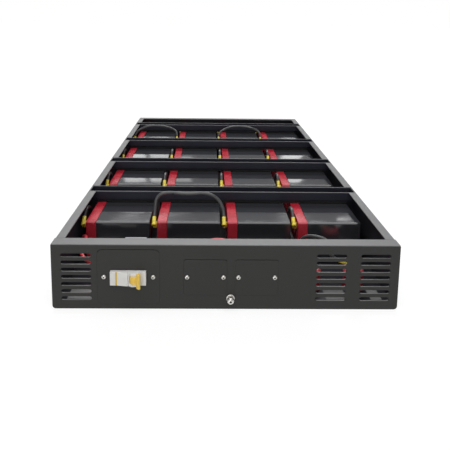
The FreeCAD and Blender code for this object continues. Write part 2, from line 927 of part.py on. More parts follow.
nodes = {
    "tray": tray(),
    "front_panel": front_panel(),
    "plate_screws": plate_screws(),
    "earth_terminal": earth_terminal(),
    "breaker_housing": breaker_housing(),
    "breaker_toggle": breaker_toggle(),
    "breaker_rail": breaker_rail(),
    "post_insulator_positive": post_insulator(0),
    "post_insulator_negative": post_insulator(1),
    "post_hardware": post_hardware(),
    "bar_pads": bar_pads(),
    "bar_screws": Part.makeCompound([bar_screw(place, way, 0) for place, way in bar_screw_places()]),
    "terminal_tabs": terminal_tabs(),
    "crimp_connectors": crimp_connectors(),
    "column_links": column_links(),
    "front_arch_lead": front_arch_lead(),
    "rear_arch_lead_left": rear_arch_lead(0),
    "rear_arch_lead_right": rear_arch_lead(2),
    "positive_lead": positive_lead(),
    "breaker_lead": breaker_lead(),
    "negative_lead": negative_lead(),
}
for plate_name in plates():
    nodes[plate_name] = plate(plate_name)
for row in range(rows):
    nodes[f"hold_down_bar_{row + 1}"] = hold_down_bar(row)
    for column in range(columns):
        nodes[f"battery_case_{row + 1}_{column + 1}"] = battery_case(row, column)
        nodes[f"battery_lid_{row + 1}_{column + 1}"] = battery_lid(row, column)

os.makedirs("parts", exist_ok=True)
for name, shape in nodes.items():
    shape.exportStep(f"parts/{name}.step")
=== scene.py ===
import json
import math

import bmesh
import bpy
from mathutils import Matrix, Vector


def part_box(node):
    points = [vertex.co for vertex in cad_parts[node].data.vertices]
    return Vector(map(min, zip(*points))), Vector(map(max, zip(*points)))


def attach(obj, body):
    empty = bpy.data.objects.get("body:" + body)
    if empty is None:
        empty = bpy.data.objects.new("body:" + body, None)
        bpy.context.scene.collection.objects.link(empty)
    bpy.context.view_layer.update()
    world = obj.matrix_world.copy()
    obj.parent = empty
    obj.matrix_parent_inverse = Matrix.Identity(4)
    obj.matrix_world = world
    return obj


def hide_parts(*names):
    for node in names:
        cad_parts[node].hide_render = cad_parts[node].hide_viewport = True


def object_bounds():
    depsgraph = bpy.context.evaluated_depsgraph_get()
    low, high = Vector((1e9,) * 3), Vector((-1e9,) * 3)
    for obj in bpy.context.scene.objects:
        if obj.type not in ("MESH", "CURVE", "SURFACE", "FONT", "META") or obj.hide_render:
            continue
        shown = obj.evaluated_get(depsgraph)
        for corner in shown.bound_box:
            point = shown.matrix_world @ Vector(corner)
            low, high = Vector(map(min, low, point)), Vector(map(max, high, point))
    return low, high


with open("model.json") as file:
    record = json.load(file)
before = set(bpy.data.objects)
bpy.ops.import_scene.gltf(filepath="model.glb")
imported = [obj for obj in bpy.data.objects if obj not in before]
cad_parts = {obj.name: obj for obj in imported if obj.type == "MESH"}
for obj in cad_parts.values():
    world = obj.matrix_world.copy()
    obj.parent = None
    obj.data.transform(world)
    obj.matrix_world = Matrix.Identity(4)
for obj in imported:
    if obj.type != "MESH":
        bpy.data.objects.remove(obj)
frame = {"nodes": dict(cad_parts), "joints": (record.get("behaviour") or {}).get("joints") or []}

cad_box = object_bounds()

# Tray: one sheet of mild steel, folded up on three sides with lips turned inward at the top.
# It is powder coated near black, and the coat rounds every cut edge a little. A painted sheen pales the
# lips, and painted light lies on the floor behind the front panel, with painted shadow from the lips and
# posts.


class Shade:
    """A socket of a node tree. Arithmetic on it adds Math nodes, and add() makes any other node."""

    def __init__(self, tree, socket=None):
        self.tree = tree
        self.socket = socket

    def add(self, kind, settings=None, inputs=None, output=0):
        node = self.tree.nodes.new(kind)
        for name, value in (settings or {}).items():
            setattr(node, name, value)
        for name, value in (inputs or {}).items():
            for each in value if isinstance(value, list) else [value]:
                if isinstance(each, Shade):
                    self.tree.links.new(each.socket, node.inputs[name])
                else:
                    node.inputs[name].default_value = each
        return Shade(self.tree, node.outputs[output] if node.outputs else None)

    def maths(self, operation, first, second=0.0):
        return self.add("ShaderNodeMath", {"operation": operation}, {0: first, 1: second})

    def __add__(self, other):
        return self.maths("ADD", self, other)

    __radd__ = __add__

    def __sub__(self, other):
        return self.maths("SUBTRACT", self, other)

    def __rsub__(self, other):
        return self.maths("SUBTRACT", other, self)

    def __mul__(self, other):
        return self.maths("MULTIPLY", self, other)

    __rmul__ = __mul__

    def __abs__(self):
        return self.maths("ABSOLUTE", self)

    def fraction(self):
        """How far this value is above the whole number below it."""
        return self.maths("FRACT", self)

    def noise(self, scale, detail=2.0):
        """Cloudy noise over these coordinates."""
        return self.add("ShaderNodeTexNoise", None, {"Vector": self, "Scale": scale, "Detail": detail})

    def between(self, low, high):
        """Rises smoothly from 0 to 1 as this value goes from low to high."""
        settings = {"interpolation_type": "SMOOTHSTEP"}
        return self.add("ShaderNodeMapRange", settings, {"Value": self, "From Min": low, "From Max": high})

    def mix(self, first, second):
        """Two colours mixed by this value."""
        return self.add("ShaderNodeMix", {"data_type": "RGBA"}, {0: self, 6: first, 7: second}, 2)

    def bump(self, depth):
        """The normal of a surface that is this value times a depth high."""
        return self.add("ShaderNodeBump", None, {"Height": self, "Distance": depth, "Strength": 1.0})

    def stretched(self, x, y, z):
        """These coordinates scaled by a different number along each axis."""
        return self.add("ShaderNodeMapping", None, {"Vector": self, "Scale": (x, y, z)})

    def axis(self, name):
        return self.add("ShaderNodeSeparateXYZ", None, {"Vector": self}, name)


def new_finish(name):
    """An empty node material, and the object coordinates that its patterns read."""
    material = bpy.data.materials.new(name)
    material.use_nodes = True
    material.node_tree.nodes.clear()
    return material, Shade(material.node_tree).add("ShaderNodeTexCoord", output="Object")


def coat_with(material, place, inputs):
    """Puts a Principled surface with these inputs on the material's output."""
    skin = place.add("ShaderNodeBsdfPrincipled", None, inputs)
    place.add("ShaderNodeOutputMaterial", None, {"Surface": skin})
    return material


def powder_coat(name, dark, light, roughness, grain_depth, sheen, lip, painted_light_marks=None):
    """A baked powder coat with a fine grain; above the lip's height it is glossier and has a painted sheen.

    The last argument is a function that paints light and shade over the coat's colour.
    """
    sheen_fade_depth = 0.0004
    painted_sheen = (0.100, 0.101, 0.103, 1)
    material, place = new_finish(name)
    grain = place.noise(1500.0, 3.0)
    cloud = place.noise(11.0, 3.0)
    rub = place.stretched(30.0, 4.0, 60.0).noise(1.0, 4.0).between(0.58, 0.8)
    colour = cloud.between(0.3, 0.7).mix(dark, light)
    if painted_light_marks:
        colour = painted_light_marks(place, colour)
    # Painted sheen: above this height the upward lips are paled where the light catches them.
    sheen_top = place.axis("Z").between(lip - sheen_fade_depth, lip)
    return coat_with(material, place, {
        "Base Color": sheen_top.mix(colour, painted_sheen),
        "Roughness": roughness + 0.16 * (cloud - 0.5) + 0.12 * (grain - 0.5) - 0.05 * rub,
        "Normal": grain.bump(grain_depth),
        "Specular IOR Level": sheen,
        "Coat Weight": sheen_top,
        "Coat Roughness": roughness,
    })


def painted_floor_light(place, colour):
    """Painted light on the floor at the front, and painted shadow of the side lips and the output posts."""
    dim_floor_light = (0.152, 0.152, 0.152, 1)
    bright_floor_light = (0.38, 0.38, 0.38, 1)
    lip_shadow_fade = (0.2062, 0.2082)
    rear_fade = (-0.331, -0.325)
    floor_fade = (0.0016, 0.0030)
    brighter_floor_fade = (0.150, 0.185)
    post_shadow_margin = 0.0025
    # The painted light lies only on the floor, inside the lips' painted shadow, and ends a little behind
    # the panel.
    lit_floor = 1 - abs(place.axis("X")).between(*lip_shadow_fade)
    lit_floor = lit_floor * (1 - place.axis("Y").between(*rear_fade))
    lit_floor = lit_floor * (1 - place.axis("Z").between(*floor_fade))
    # Painted shadow in front of each output post.
    for node in ("post_insulator_positive", "post_insulator_negative"):
        low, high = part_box(node)
        off = abs(place.axis("X") - (low[0] + high[0]) / 2)
        clear = (high[0] - low[0]) / 2
        lit_floor = lit_floor * off.between(clear, clear + post_shadow_margin)
    # The painted light is brighter towards the side walls.
    brighter_floor = abs(place.axis("X")).between(*brighter_floor_fade)
    return lit_floor.mix(colour, brighter_floor.mix(dim_floor_light, bright_floor_light))


def new_piece(name, data):
    piece = bpy.data.objects.new(name, data)
    bpy.context.collection.objects.link(piece)
    return piece


def evaluated_mesh(piece):
    """A plain mesh of the piece as its modifiers or its curve make it."""
    return bpy.data.meshes.new_from_object(piece.evaluated_get(bpy.context.evaluated_depsgraph_get()))


def finished(piece):
    """Works a piece's modifiers into its mesh and removes them."""
    mesh = evaluated_mesh(piece)
    piece.modifiers.clear()
    piece.data = mesh
    return piece


def filled(mesh, work, smooth=True):
    """Puts a worked shape into a mesh, shaded smooth or in facets."""
    for face in work.faces:
        face.smooth = smooth
    work.to_mesh(mesh)
    work.free()
    return mesh


def rounded_copy(node, width, segments=2, reshape=None):
    """A copy of a node's solid with its sharp edges rounded, for the light to catch, and first reshaped."""
    mesh = frame["nodes"][node].data.copy()
    work = bmesh.new()
    work.from_mesh(mesh)
    bmesh.ops.remove_doubles(work, verts=work.verts, dist=1e-6)
    bmesh.ops.dissolve_limit(work, angle_limit=0.01, verts=work.verts, edges=work.edges)
    if reshape:
        reshape(work)
    piece = new_piece(node + "_finished", filled(mesh, work))
    edges = piece.modifiers.new("edges", "BEVEL")
    edges.width = width
    edges.segments = segments
    edges.limit_method = "ANGLE"
    edges.angle_limit = math.radians(35)
    faces = piece.modifiers.new("faces", "WEIGHTED_NORMAL")
    faces.keep_sharp = False
    return finished(piece)


def dress(piece, node, material, body="chassis"):
    """Gives a piece its finish and puts it in a node's place."""
    piece.data.materials.clear()
    piece.data.materials.append(material)
    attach(piece, body)
    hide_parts(node)
    return piece


tray_edge = 0.0005
tray_coat = powder_coat(
    "tray_coat", (0.025, 0.025, 0.033, 1), (0.031, 0.031, 0.040, 1), roughness=0.42, grain_depth=0.00008,
    sheen=0.2, lip=0.0846, painted_light_marks=painted_floor_light,
)
dress(rounded_copy("tray", tray_edge), "tray", tray_coat)

# Front panel: a folded steel pan with three groups of vents and a pressed recess behind each plate.
# It is charcoal powder coat with a fine grain, and a painted sheen pales it along the top. The lower cut
# edges of the vents face up to the light and are painted pale.

panel_edge = 0.0004
face_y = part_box("front_panel")[0][1]


def painted_vent_edge_light(place, colour):
    """Painted light on the upward lower cut edge of each vent, left and right of the plates."""
    painted_edge_light = (0.19, 0.19, 0.186, 1)
    lowest_edge = 0.0117
    vent_pitch = 0.0096
    edge_fade = (0.0005, 0.0010)
    front_fade = (face_y, face_y + 0.0003)
    rear_fade = (face_y + 0.0021, face_y + 0.0024)
    left_fade = (-0.167, -0.166)
    right_fade = (0.110, 0.111)
    end_fade = (0.211, 0.213)
    fold_fade = (0.005, 0.007)
    across, inward, up = (place.axis(name) for name in "XYZ")
    off = ((up - lowest_edge) * (1 / vent_pitch) + 0.5).fraction() - 0.5
    lit_cut = 1 - (vent_pitch * abs(off)).between(*edge_fade)
    lit_cut = lit_cut * inward.between(*front_fade) * (1 - inward.between(*rear_fade))
    lit_cut = lit_cut * (across.between(*right_fade) + (1 - across.between(*left_fade)))
    lit_cut = lit_cut * (1 - abs(across).between(*end_fade)) * up.between(*fold_fade)
    return lit_cut.mix(colour, painted_edge_light)


panel_coat = powder_coat(
    "panel_coat", (0.025, 0.025, 0.0235, 1), (0.029, 0.029, 0.027, 1), roughness=0.50, grain_depth=0.00012,
    sheen=0.3, lip=0.0856, painted_light_marks=painted_vent_edge_light,
)
dress(rounded_copy("front_panel", panel_edge), "front_panel", panel_coat)

# Plates: one round the breaker's nose and two blank ones over cable entries, cut from steel sheet.
# They have the panel's coat, and rest low in their recesses, so that mostly the rounded upper edge shows.

plate_edge = 0.0014
plate_gap = 0.0005
coat_gap = 0.00005
cut_edge = 0.0001


def settled(node, corner):
    """Lets a plate rest low in its recess and fill it sideways, and rounds its free upper edge."""
    low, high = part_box(node)
    middle_x = (low[0] + high[0]) / 2
    inner = (high[0] - low[0]) / 2 - corner
    slack = plate_gap - coat_gap
    front = low[1] + 1e-5
    upper = high[2] - 0.6 * corner

    def reshape(work):
        for vert in work.verts:
            off = vert.co.x - middle_x
            aside = max(0.0, abs(off) - inner) / corner
            under = max(0.0, low[2] + corner - vert.co.z) / corner
            vert.co.x += math.copysign(slack * aside, off)
            vert.co.z -= slack * under
        brow = [edge for edge in work.edges if all(v.co.y < front and v.co.z > upper for v in edge.verts)]
        bmesh.ops.bevel(work, geom=brow, offset=plate_edge, segments=4, profile=0.5, affect="EDGES")

    return reshape


plate_corners = {"breaker_plate": 0.0060, "cover_plate_left": 0.0025, "cover_plate_right": 0.0025}
for node, corner in plate_corners.items():
    dress(rounded_copy(node, cut_edge, 1, settled(node, corner)), node, panel_coat)

# Plate screws: button-head steel screws with a six-sided socket and bright nickel plate.
# Two hold each plate, turned as the driver left them. A dark disc low in each socket is painted shade.


def new_tree(name, inputs):
    """A geometry tree with named inputs, the last of them the finish, and those inputs."""
    tree = bpy.data.node_groups.new(name, "GeometryNodeTree")
    for label, kind in {"Geometry": "Geometry", **inputs, "Finish": "Material"}.items():
        tree.interface.new_socket(label, in_out="INPUT", socket_type="NodeSocket" + kind)
    tree.interface.new_socket("Geometry", in_out="OUTPUT", socket_type="NodeSocketGeometry")
    start = tree.nodes.new("NodeGroupInput")
    return tree, {socket.name: Shade(tree, socket) for socket in start.outputs}


def repeat_on_points(given, shape, size):
    """Ends a tree with the shape on each of its points, at the point's own turn, in the given finish."""
    points = given["Geometry"]
    turn = points.add("GeometryNodeInputNamedAttribute", {"data_type": "FLOAT_VECTOR"}, {"Name": "turn"})
    spread = points.add("GeometryNodeInstanceOnPoints", None, {
        "Points": points, "Instance": shape, "Rotation": turn, "Scale": size,
    })
    real = points.add("GeometryNodeRealizeInstances", None, {"Geometry": spread})
    coated = points.add("GeometryNodeSetMaterial", None, {"Geometry": real, "Material": given["Finish"]})
    points.add("NodeGroupOutput", None, {"Geometry": coated})


def head_tree():
    """Domed heads with a six-sided socket."""
    tree, given = new_tree("domed_heads", {
        "Head radius": "Float", "Head height": "Float", "Socket radius": "Float", "Socket depth": "Float",
    })
    radius = given["Head radius"]
    height = given["Head height"]

    def lifted(geometry, middle):
        move = radius.add("ShaderNodeCombineXYZ", None, {2: middle})
        return radius.add("GeometryNodeTransform", None, {"Geometry": geometry, "Translation": move})

    ball = radius.add("GeometryNodeMeshUVSphere", None, {"Segments": 28, "Rings": 14, "Radius": 1.0})
    ball = radius.add("GeometryNodeSetShadeSmooth", None, {"Geometry": ball})
    flat = radius.add("ShaderNodeCombineXYZ", None, {0: radius, 1: radius, 2: height})
    dome = radius.add("GeometryNodeTransform", None, {"Geometry": ball, "Scale": flat})
    size = radius.add("ShaderNodeCombineXYZ", None, {0: 4 * radius, 1: 4 * radius, 2: 2 * height})
    under = lifted(radius.add("GeometryNodeMeshCube", None, {"Size": size}), -1 * height)
    prism = radius.add("GeometryNodeMeshCylinder", None, {
        "Vertices": 6, "Radius": given["Socket radius"], "Depth": 2 * given["Socket depth"],
    })
    cuts = [under, lifted(prism, height)]
    settings = {"operation": "DIFFERENCE", "solver": "EXACT"}
    head = radius.add("GeometryNodeMeshBoolean", settings, {"Mesh 1": dome, "Mesh 2": cuts})
    repeat_on_points(given, head, (1, 1, 1))
    return tree


def pattern_tree():
    """Copies of a pattern piece."""
    tree, given = new_tree("repeated_pieces", {"Piece": "Object", "Size": "Float"})
    shape = given["Piece"].add("GeometryNodeObjectInfo", None, {"Object": given["Piece"]}, "Geometry")
    repeat_on_points(given, shape, given["Size"])
    return tree


def on_points(name, places, turns, tree, values):
    """A piece that a tree makes on points; each place has a turn, and values are the tree's inputs."""
    mesh = bpy.data.meshes.new(name)
    mesh.from_pydata([tuple(place) for place in places], [], [])
    turn = mesh.attributes.new("turn", "FLOAT_VECTOR", "POINT")
    for index, angles in enumerate(turns):
        turn.data[index].vector = angles
    piece = new_piece(name, mesh)
    repeat = piece.modifiers.new("repeat", "NODES")
    repeat.node_group = tree
    for item in tree.interface.items_tree:
        if item.in_out == "INPUT" and item.name in values:
            repeat[item.identifier] = values[item.name]
    return finished(piece)


def copies(name, pattern, places, turns, finish, size=1.0):
    """A piece made of copies of a pattern."""
    values = {"Piece": pattern, "Size": size, "Finish": finish}
    return on_points(name, places, turns, repeated_pieces, values)


def lathe(name, profile, sides):
    """A mesh turned about Z from pairs of radius and height."""
    work = bmesh.new()
    rings = []
    for radius, height in profile:
        angles = [2 * math.pi * i / sides for i in range(sides if radius > 0 else 1)]
        ring = [(radius * math.cos(angle), radius * math.sin(angle), height) for angle in angles]
        rings.append([work.verts.new(corner) for corner in ring])
    for lower, upper in zip(rings, rings[1:]):
        for i in range(sides):
            j = (i + 1) % sides
            around = [(lower, i), (lower, j), (upper, j), (upper, i)]
            corners = [ring[k % len(ring)] for ring, k in around]
            work.faces.new(list(dict.fromkeys(corners)))
    bmesh.ops.remove_doubles(work, verts=work.verts, dist=1e-7)
    bmesh.ops.recalc_face_normals(work, faces=work.faces)
    return filled(bpy.data.meshes.new(name), work, smooth=sides > 6)


def bright_plate(name, dark, light, roughness):
    """Plated metal with faint cloudiness and fine scuffs."""
    scuff = 0.00001
    material, place = new_finish(name)
    cloud = place.noise(420.0, 3.0)
    lines = place.stretched(3000.0, 3000.0, 500.0).noise(1.0, 2.0)
    return coat_with(material, place, {
        "Base Color": cloud.between(0.3, 0.7).mix(dark, light),
        "Metallic": 1.0,
        "Roughness": roughness + 0.15 * (cloud - 0.5) + 0.1 * (lines - 0.5),
        "Normal": lines.bump(scuff),
    })


nickel = bright_plate("nickel", (0.62, 0.60, 0.56, 1), (0.78, 0.76, 0.72, 1), roughness=0.38)
domed_heads = head_tree()
repeated_pieces = pattern_tree()
quarter_turn = math.radians(90)
plate_height = 0.043
socket_radius = 0.0013
screw_spans = {"breaker_plate": 0.062, "cover_plate_left": 0.046, "cover_plate_right": 0.046}
screw_x = []
for node, span in screw_spans.items():
    low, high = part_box(node)
    middle = (low[0] + high[0]) / 2
    screw_x += [middle - span / 2, middle + span / 2]
turn_step = 0.5
screw_turns = [(quarter_turn, turn_step * index, 0) for index in range(len(screw_x))]
plate_screws = on_points(
    "plate_screws_finished", [(x, face_y, plate_height) for x in screw_x], screw_turns, domed_heads,
    {
        "Head radius": 0.0029,
        "Head height": 0.0017,
        "Socket radius": socket_radius,
        "Socket depth": 0.0012,
        "Finish": nickel,
    },
)
dress(plate_screws, "plate_screws", nickel)

# Painted shade: a thin dark six-sided disc near the bottom of each socket stands for the shade in it.
shade_disc_thickness = 0.0003
shade_disc_height = 0.00142
socket_shade, place = new_finish("socket_shade")
shade_speckle = place.noise(3000.0, 2.0)
coat_with(socket_shade, place, {
    "Base Color": shade_speckle.between(0.3, 0.7).mix((0.012, 0.011, 0.010, 1), (0.030, 0.028, 0.026, 1)),
    "Roughness": 0.60 + 0.2 * (shade_speckle - 0.5),
    "Normal": shade_speckle.bump(0.00005),
})
socket_shade_disc = new_piece("dirt_pattern", lathe("socket_shade_disc", [
    (0.0, -shade_disc_thickness), (socket_radius, -shade_disc_thickness), (socket_radius, 0.0), (0.0, 0.0),
], 6))
shade_disc_places = [(x, face_y - shade_disc_height, plate_height) for x in screw_x]
socket_shade_discs = copies("plate_screw_sockets", socket_shade_disc, shade_disc_places, screw_turns, socket_shade)
dress(socket_shade_discs, "plate_screws", socket_shade)

# Earthing screw: a round-headed screw, its hexagon nut and its washer, all nickel plated.
# They stand out from the lower middle of the panel, ready for an earth lead's ring.

earth_place = Vector((0.006, face_y, 0.015))
earth_turn = (quarter_turn, 0.2, 0)
earth_shade_disc_height = 0.0032
earth_shade_disc_size = 1.3
hole_radius = 0.0027
washer_radius = 0.0052
washer_height = 0.0012
nut_flat = 0.0040
nut_radius = nut_flat / math.cos(math.pi / 6)
nut_height = 0.0046
outward = Vector((0, -1, 0))
nut_place = earth_place + outward * washer_height
head_place = nut_place + outward * nut_height


def standing_ring(name, base, radius, height, bevel_in, bevel_up, sides):
    """A washer or a nut that stands out from the panel, its outer edges bevelled."""
    mesh = lathe(name, [
        (hole_radius, 0.0), (radius - bevel_in, 0.0), (radius, bevel_up), (radius, height - bevel_up),
        (radius - bevel_in, height), (hole_radius, height), (hole_radius, 0.0),
    ], sides)
    mesh.transform(Matrix.Translation(base) @ Matrix.Rotation(quarter_turn, 4, "X"))
    return new_piece(name, mesh)


washer = standing_ring("earth_washer", earth_place, washer_radius, washer_height, 0.0002, 0.0002, 36)
nut = standing_ring("earth_nut", nut_place, nut_radius, nut_height, 0.0006, 0.0004, 6)
earth_head = on_points("earth_head", [head_place], [earth_turn], domed_heads, {
    "Head radius": 0.0045,
    "Head height": 0.0036,
    "Socket radius": 0.0017,
    "Socket depth": 0.0016,
    "Finish": nickel,
})
for piece in (washer, nut, earth_head):
    dress(piece, "earth_terminal", nickel)
# Painted shade: a dark disc in the head's socket stands for the shade in it.
earth_shade_disc_place = head_place + outward * earth_shade_disc_height
earth_socket = copies("earth_socket", socket_shade_disc, [earth_shade_disc_place], [earth_turn], socket_shade, earth_shade_disc_size)
bpy.data.objects.remove(socket_shade_disc)
dress(earth_socket, "earth_terminal", socket_shade)

# Breaker: a white moulded case one module wide, clipped to the rail, its nose through the plate.
# A plain yellow strip crosses the face of the nose beside the toggle.

breaker_edge = 0.0006
breaker_low, breaker_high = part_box("breaker_housing")
strip_offset = 0.0146
strip_x = (breaker_low[0] + breaker_high[0]) / 2 - strip_offset
strip_half = 0.0011
nose_front = face_y - 0.0041
breaker_plastic, place = new_finish("breaker_plastic")
grain = place.noise(2200.0, 2.0)
cloud = place.noise(60.0, 2.0)
across = place.maths("LESS_THAN", abs(place.axis("X") - strip_x), strip_half)
strip = across * place.maths("LESS_THAN", place.axis("Y"), nose_front)
white = cloud.between(0.3, 0.7).mix((0.82, 0.81, 0.78, 1), (0.87, 0.86, 0.83, 1))
coat_with(breaker_plastic, place, {
    "Base Color": strip.mix(white, (0.72, 0.48, 0.06, 1)),
    "Roughness": 0.38 + 0.1 * (grain - 0.5),
    "Normal": grain.bump(0.00003),
    "Coat Weight": 0.3,
    "Coat Roughness": 0.3,
})
dress(rounded_copy("breaker_housing", breaker_edge), "breaker_housing", breaker_plastic)

# Toggle: a drum with a paddle, moulded in one from amber plastic.
# The drum sits in the breaker's nose and turns there, with the paddle to the right at rest.

toggle_edge = 0.0007
toggle_plastic, place = new_finish("toggle_plastic")
grain = place.noise(1800.0, 2.0)
wipe = place.noise(160.0, 3.0)
coat_with(toggle_plastic, place, {
    "Base Color": wipe.between(0.3, 0.7).mix((0.95, 0.60, 0.080, 1), (0.98, 0.68, 0.12, 1)),
    "Roughness": 0.34 + 0.14 * (wipe - 0.5),
    "Normal": grain.bump(0.00002),
})
toggle_axis = Vector(frame["joints"][0]["pos_m"])
toggle_tilt = math.radians(45)
paddle_way = Vector((math.sin(toggle_tilt), -math.cos(toggle_tilt), 0))
paddle_half = 0.0090
shoulder_reach = 0.0093
shoulder_shift = 0.0024


def fuller_paddle(work):
    """Brings the paddle's full width nearer to its neck."""
    for vert in work.verts:
        reach = (vert.co - toggle_axis).dot(paddle_way)
        if abs(vert.co.z - toggle_axis.z) > paddle_half and reach < shoulder_reach:
            vert.co -= paddle_way * shoulder_shift


toggle = rounded_copy("breaker_toggle", toggle_edge, reshape=fuller_paddle)
dress(toggle, "breaker_toggle", toggle_plastic, "toggle")

# Mounting rail: a standing length of top-hat rail with a folded foot, in zinc-plated steel.
# The breaker's clip grips its flanges.

rail_edge = 0.0002
zinc = bright_plate("zinc", (0.42, 0.43, 0.44, 1), (0.54, 0.55, 0.56, 1), roughness=0.46)
dress(rounded_copy("breaker_rail", rail_edge), "breaker_rail", zinc)

# Output posts: red moulded insulators that stand on the floor behind the right vents.
# Each has a zinc-plated stud, and a nut that clamps the lead's ring.

post_edge = 0.0022
stud_edge = 0.0002
top_light_fade = (0.0235, 0.0275)
post_plastic, place = new_finish("post_plastic")
grain = place.noise(1500.0, 2.0)
cloud = place.noise(90.0, 2.0)
# Painted light and shade: the insulators are paler on their lit tops and darker on their shaded sides, with
# a random tone.
painted_top_light = place.axis("Z").between(*top_light_fade) + 0.3 * (cloud - 0.5)
coat_with(post_plastic, place, {
    "Base Color": painted_top_light.mix((0.34, 0.012, 0.022, 1), (0.97, 0.15, 0.18, 1)),
    "Roughness": 0.36 + 0.12 * (grain - 0.5),
    "Normal": grain.bump(0.00003),
})
post_tops = []
for node in ("post_insulator_positive", "post_insulator_negative"):
    dress(rounded_copy(node, post_edge, 3), node, post_plastic)
    low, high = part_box(node)
    post_tops.append(Vector(((low[0] + high[0]) / 2, (low[1] + high[1]) / 2, high[2])))
dress(rounded_copy("post_hardware", stud_edge), "post_hardware", zinc)

# Hold-down bars: folded steel channels across the tray, coated like it, with a painted sheen along the top.
# They press on the batteries through strips of foam.

bar_edge = 0.0006
pad_edge = 0.0008
bar_coat = powder_coat(
    "bar_coat", (0.019, 0.020, 0.030, 1), (0.024, 0.025, 0.037, 1), roughness=0.40, grain_depth=0.00008,
    sheen=0.2, lip=0.0852,
)
rows = range(1, 5)
bars = [f"hold_down_bar_{row}" for row in rows]
for node in bars:
    dress(rounded_copy(node, bar_edge, 3), node, bar_coat)
foam, place = new_finish("foam")
cells = place.add("ShaderNodeTexVoronoi", None, {"Vector": place, "Scale": 900.0}, "Distance")
coat_with(foam, place, {
    "Base Color": cells.between(0.1, 0.6).mix((0.030, 0.030, 0.031, 1), (0.014, 0.014, 0.015, 1)),
    "Roughness": 0.88 + 0.1 * cells,
    "Normal": cells.bump(0.0002),
})
dress(rounded_copy("bar_pads", pad_edge), "bar_pads", foam)

# Bar screws: countersunk steel screws in bright nickel plate, with a round recess in the head.
# One through the side wall holds each turned-up end of a bar.

countersunk = new_piece("countersunk_pattern", lathe("countersunk", [
    (0.0, -0.0014), (0.0014, -0.0014), (0.0015, -0.0001), (0.0031, 0.0), (0.0033, -0.0002),
    (0.0017, -0.0015), (0.0017, -0.0080), (0.0, -0.0080),
], 28))
wall_places = []
wall_turns = []
for node in bars:
    low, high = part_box(node)
    for side in (-1, 1):
        wall_places.append((side * cad_box[1][0], (low[1] + high[1]) / 2, (high[2] + low[2]) / 2))
        wall_turns.append((0, side * quarter_turn, 0))
bar_screws = copies("bar_screws_finished", countersunk, wall_places, wall_turns, nickel)
bpy.data.objects.remove(countersunk)
dress(bar_screws, "bar_screws", nickel)

# Batteries: sealed moulded cases in glossy black with glossy red lids, lying on their sides.
# The lid is welded on along a fine seam, and the moulded walls are not quite flat.

battery_edge = 0.0008
swell_height = 0.0039
swell_middle = 0.47
first_row_fade = (-0.110, -0.106)
case_plastic, place = new_finish("case_plastic")
row_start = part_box("battery_lid_1_1")[0][1]
row_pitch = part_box("battery_lid_2_1")[0][1] - row_start
along = ((place.axis("Y") - row_start) * (1 / row_pitch)).fraction() - swell_middle
flatter_first = 0.85 + 0.15 * place.axis("Y").between(*first_row_fade)
swell = swell_height * (1.0 - 4.5 * along * along) * flatter_first
wave = place.stretched(14.0, 9.0, 14.0).noise(1.0, 1.0)
film = place.stretched(4.0, 90.0, 30.0).noise(1.0, 3.0)
scratch = place.stretched(40.0, 420.0, 420.0).noise(1.0, 3.0).between(0.60, 0.75)
dust = place.noise(2600.0, 2.0).between(0.62, 0.74)
smear = place.noise(28.0, 4.0).between(0.45, 0.75)
coat_with(case_plastic, place, {
    "Base Color": (0.6 * dust).mix((0.031, 0.032, 0.037, 1), (0.095, 0.095, 0.095, 1)),
    "Specular IOR Level": 0.72,
    "Coat Weight": 0.25,
    "Coat Roughness": 0.14,
    "Roughness": 0.07 + 0.08 * smear + 0.10 * dust + 0.05 * scratch,
    "Normal": (swell + 0.0003 * wave + 0.00012 * film).bump(1.0),
})
lid_plastic, place = new_finish("lid_plastic")
grain = place.noise(1300.0, 2.0)
cloud = place.noise(35.0, 3.0)
coat_with(lid_plastic, place, {
    "Base Color": cloud.between(0.3, 0.7).mix((0.44, 0.020, 0.036, 1), (0.53, 0.027, 0.048, 1)),
    "Roughness": 0.27 + 0.14 * (cloud - 0.5) + 0.10 * (grain - 0.5),
    "Normal": grain.bump(0.00003),
})
columns = range(1, 5)
for row in rows:
    for column in columns:
        case = f"battery_case_{row}_{column}"
        lid = f"battery_lid_{row}_{column}"
        dress(rounded_copy(case, battery_edge, 3), case, case_plastic)
        dress(rounded_copy(lid, battery_edge, 3), lid, lid_plastic)

# Tabs and crimp connectors: tinned brass tabs stand out of the lids near both ends.
# On each sits a yellow insulated flag connector: a sleeve over the tab and a barrel across it,
# with the lead crimped into one end and the other end open. The posts' leads end in ring lugs.

tin = bright_plate("tin", (0.54, 0.53, 0.49, 1), (0.66, 0.65, 0.60, 1), roughness=0.34)
frame["nodes"]["terminal_tabs"].data.materials.clear()
frame["nodes"]["terminal_tabs"].data.materials.append(tin)
mm = 0.001
tab_inset = 9.5 * mm
tab_drop = 8.0 * mm
barrel_offset = 5.4 * mm
barrel_lift = 5.5 * mm
barrel_slide = -0.3 * mm
barrel_length = 13.5 * mm
barrel_half = barrel_length / 2
core_inset = 1.0 * mm
sleeve_size = (6.2 * mm, 4.6 * mm, 9.0 * mm)
sleeve_rounding = 1.1 * mm
sleeve_reach = Vector((-4.07, 0, 0)) * mm


def tab_root(row, column, end):
    low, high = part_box(f"battery_lid_{row}_{column}")
    y = low[1] + tab_inset if end == "front" else high[1] - tab_inset
    return Vector((low[0], y, high[2] - tab_drop))


def barrel_way(row, end):
    """The way a barrel points towards its lead."""
    if end == "front":
        return Vector((0, 1, 1)).normalized()
    return Vector((0, 1 if row < rows[-1] else -1, -1)).normalized()


def barrel_middle(row, column, end):
    way = barrel_way(row, end)
    across = Vector((-barrel_offset, 0, math.copysign(barrel_lift, way.z)))
    return tab_root(row, column, end) + across + way * barrel_slide


def lead_end(row, column, end):
    return barrel_middle(row, column, end) + barrel_way(row, end) * barrel_half


